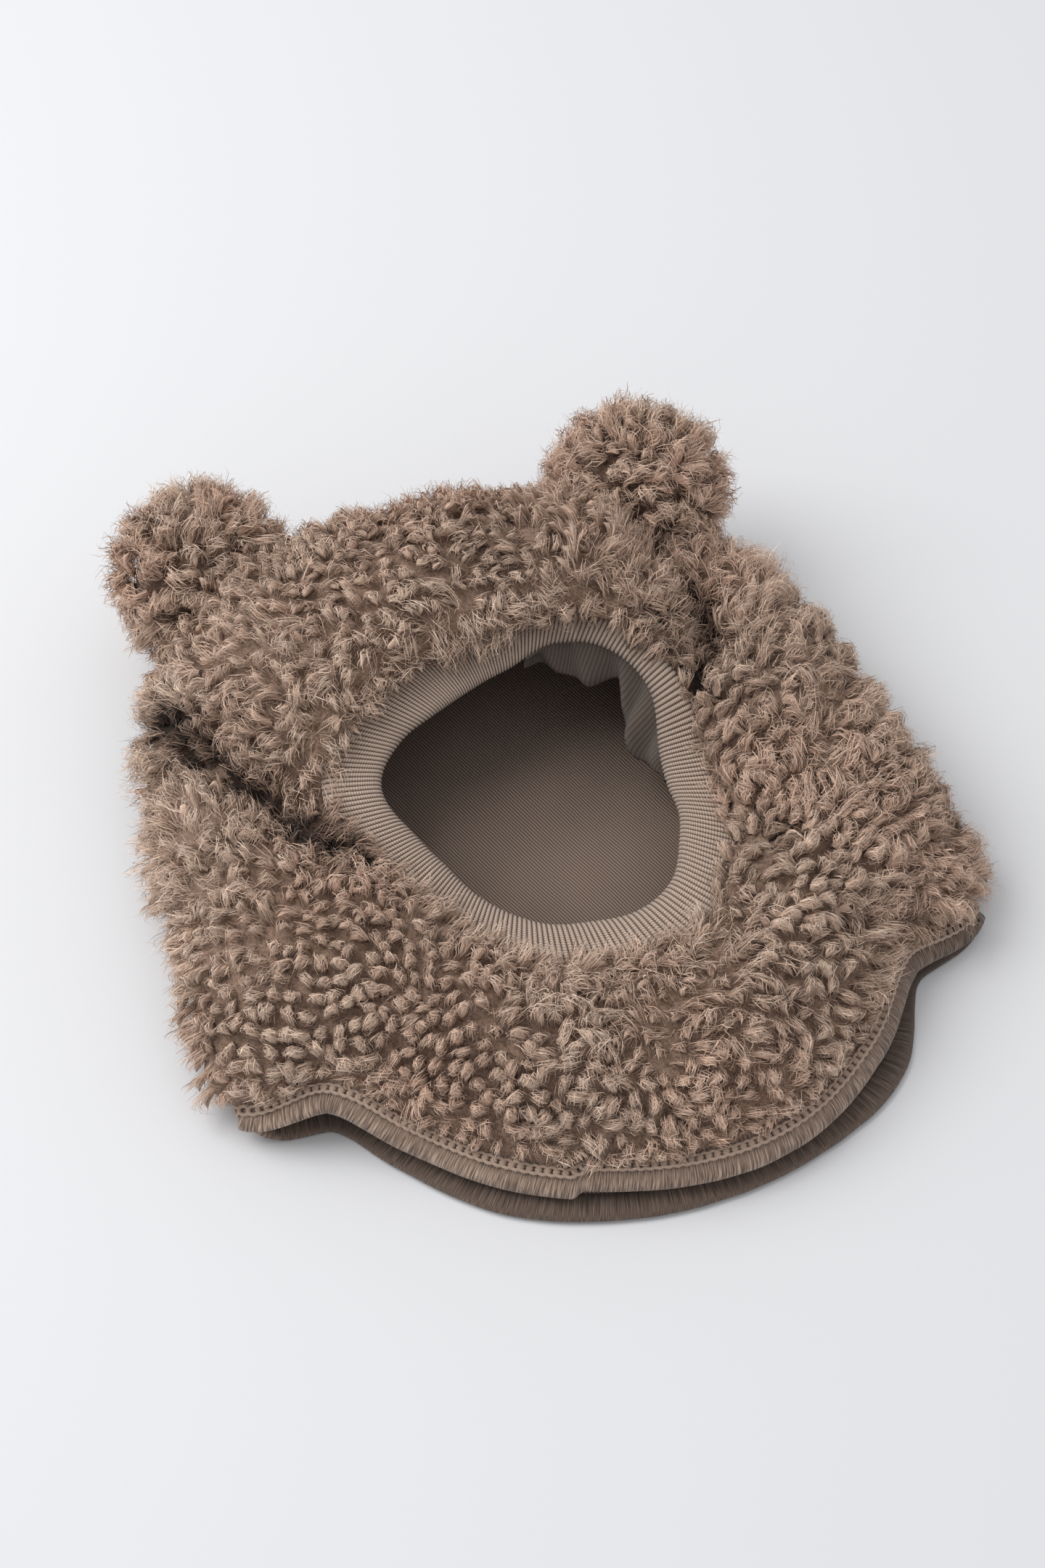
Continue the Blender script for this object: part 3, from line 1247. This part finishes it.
# %% The hem as a line of places and directions
HEM_COLUMNS = 700
hem_angles, hem_grid = cloth(HEM_COLUMNS, 24)
hem_out = outward(hem_angles, hem_grid)[:, -1]
hem_line = hem_grid[:, -1]
hem_round = around(hem_grid)[:, -1]
hem_reach = unit(np.cross(hem_round, hem_out))
hem_reach *= np.sign((hem_reach * (hem_line - hem_grid[:, -2])).sum(1))[:, None]
hem_length = np.linalg.norm(np.roll(hem_line, -1, axis=0) - hem_line, axis=1).sum()
print("the hem is", round(hem_length * 1000), "mm round")

# %% Sweep the hem's profile
HEM_STOPS = [
    (-0.22, 0.55), (-0.08, 0.98), (0.08, 1.02), (0.26, 1.05), (0.46, 1.05), (0.66, 1.0),
    (0.84, 0.86), (0.95, 0.55), (1.0, 0.0), (0.95, -0.55), (0.84, -0.86), (0.60, -1.0),
    (0.30, -1.0), (0.0, -1.0),
]
OVERLAP_AT = 259
OVERLAP_DEPTH = 0.0028
on_front = smooth(((hem_angles - LEFT_CORNER) % 360) / 12) * in_hem(hem_angles)
on_front = on_front * smooth(((RIGHT_CORNER - hem_angles) % 360) / 12)
hem_wall = SEWN_PILE + LINING_GAP + LINING_WALL + 0.0022 * on_front
hem_reach = unit(hem_reach - [0, 0, 0.28] * on_front[:, None])
overlap = smooth((hem_angles - OVERLAP_AT) / 1.5) * OVERLAP_DEPTH
overlap = overlap * (1 - smooth((hem_angles - OVERLAP_AT - 2) / 24))
hem_line = hem_line - hem_reach * overlap[:, None]
hem_start = hem_line + hem_out * (SEWN_PILE - hem_wall / 2)[:, None]
ripple = 0.00010 * slow_noise(hem_line, 0.004, 21)
hem = ring_of("neck_overlock", swept(
    HEM_STOPS, hem_start, hem_reach, hem_out, HEM_DEPTH, hem_wall[:, None], ripple
))
print("swept", len(HEM_STOPS), "stops")

# %% The overlock's finish
# The threads are darker near the floor and at the right end, where the roll turns under.
overlock, tree, shader = fabric("overlock", sheen=0.2)
along, across = along_and_across(tree)
round_hem = math_node(tree, "MULTIPLY", along, 2100.0)
thread_way = add(
    tree, "ShaderNodeCombineXYZ", X=math_node(tree, "MULTIPLY_ADD", across, 7.0, round_hem),
    Y=math_node(tree, "MULTIPLY", across, 3.0),
)
threads = noise(tree, thread_way.outputs["Vector"], 1.0, 2.0, 0.6)
yarn = ramp(tree, threads, [
    (0.34, (0.090, 0.060, 0.044)), (0.5, (0.265, 0.186, 0.140)), (0.66, (0.520, 0.385, 0.300)),
])
place = add(tree, "ShaderNodeTexCoord").outputs["Object"]
axes = add(tree, "ShaderNodeSeparateXYZ", Vector=place)
above_floor = math_node(tree, "MULTIPLY", axes.outputs["Z"], 50.0)
to_right = math_node(tree, "MULTIPLY", axes.outputs["X"], 8.0)
worn = ramp(tree, above_floor, [(0.2, (0.52, 0.50, 0.49)), (0.4, (1.0,) * 3)])
turned_in = ramp(tree, to_right, [(0.55, (1.0,) * 3), (0.85, (0.56, 0.54, 0.53))])
thread = multiplied(tree, multiplied(tree, yarn, worn), turned_in)
dress(tree, shader, thread, threads, 0.0006)
finish_piece(hem, overlock, "hem", "neck_hem")

# %% One knot of the chain on the fleece's side
KNOT_SPACING = 0.0029
deselect()
bpy.ops.mesh.primitive_torus_add(
    major_segments=8, minor_segments=4, major_radius=0.00145, minor_radius=0.00068
)
knot = bpy.context.object
knot_spots = spots_of(knot) * [1.35, 1, 1]
knot_faces = [tuple(face.vertices) for face in knot.data.polygons]
bpy.data.objects.remove(knot)
print("a knot has", len(knot_faces), "faces")

# %% Copy the knot all the way round
chain_line = hem_line + hem_out * (SEWN_PILE + 0.0010) + hem_reach * 0.0026
far = np.concatenate([[0], np.cumsum(np.linalg.norm(np.diff(hem_line, axis=0), axis=1))])
at = np.arange(0, far[-1], KNOT_SPACING)
chain, along_hem, over_hem = (
    read_at(at, far, line) for line in (chain_line, hem_round, hem_out)
)
axes = (along_hem, np.cross(over_hem, along_hem), over_hem)
spots = chain[:, None] + sum(axes[k][:, None] * knot_spots[:, k:k + 1] for k in range(3))
spots = spots.reshape(-1, 3) + SHIFT
spots[:, 2] = np.maximum(spots[:, 2], 0.0001)
knots = joined("neck_chain_stitch", spots, knot_faces, len(knot_spots))
chain_yarn, _, shader = fabric("chain_yarn", sheen=0.2)
shader.inputs["Base Color"].default_value = (0.400, 0.290, 0.224, 1)
finish_piece(knots, chain_yarn, "hem", "neck_hem")
print(len(at), "knots in the chain")

# %% [markdown]
# ## The floor, the light and the camera
#
# The photograph is a plain studio shot from in front and above. The floor is one wide pale
# plane. A large soft lamp from the upper left gives the gentle shading, and a pale world
# fills the shadows.

# %% The floor
deselect()
bpy.ops.mesh.primitive_plane_add(size=6.0, location=(0, 0, 0))
floor = bpy.context.object
floor.name = "studio_floor"
paper, _, shader = fabric("studio_paper", sheen=0.0, roughness=0.8)
shader.inputs["Base Color"].default_value = (0.765, 0.770, 0.784, 1)
floor.data.materials.append(paper)
print("the floor is", floor.dimensions[0], "m wide")

# %% The light
LAMP_AT = Vector((-0.9, 0.5, 1.3))
world = bpy.data.worlds.new("studio")
bpy.context.scene.world = world
world.use_nodes = True
sky = world.node_tree.nodes["Background"]
sky.inputs["Color"].default_value = (0.98, 0.985, 1.0, 1)
sky.inputs["Strength"].default_value = 0.66
deselect()
bpy.ops.object.light_add(type="AREA", location=LAMP_AT)
lamp = bpy.context.object
lamp.name = "key"
lamp.data.size = 1.2
lamp.data.energy = 18
lamp.rotation_mode = "QUATERNION"
lamp.rotation_quaternion = LAMP_AT.to_track_quat("Z", "Y")
print("one lamp and a pale world")

# %% The camera
AZIMUTH, ELEVATION, DISTANCE = math.radians(-17), math.radians(52), 1.2
PICTURE_HEIGHT = 2160
target = Vector(SHIFT) + Vector((0, 0, 0.03))
back = Vector((
    math.sin(AZIMUTH) * math.cos(ELEVATION),
    -math.cos(AZIMUTH) * math.cos(ELEVATION),
    math.sin(ELEVATION),
))
deselect()
bpy.ops.object.camera_add(location=target + back * DISTANCE)
camera = bpy.context.object
camera.rotation_mode = "QUATERNION"
camera.rotation_quaternion = back.to_track_quat("Z", "Y")
camera.data.lens = 80
camera.data.sensor_fit = "VERTICAL"
camera.data.sensor_height = 36
camera.data.shift_x = -4 / PICTURE_HEIGHT
camera.data.shift_y = 11 / PICTURE_HEIGHT
camera.data.clip_start = 0.05
bpy.context.scene.camera = camera
bpy.context.scene.view_settings.view_transform = "Standard"
print("camera at", [round(v, 3) for v in camera.location])
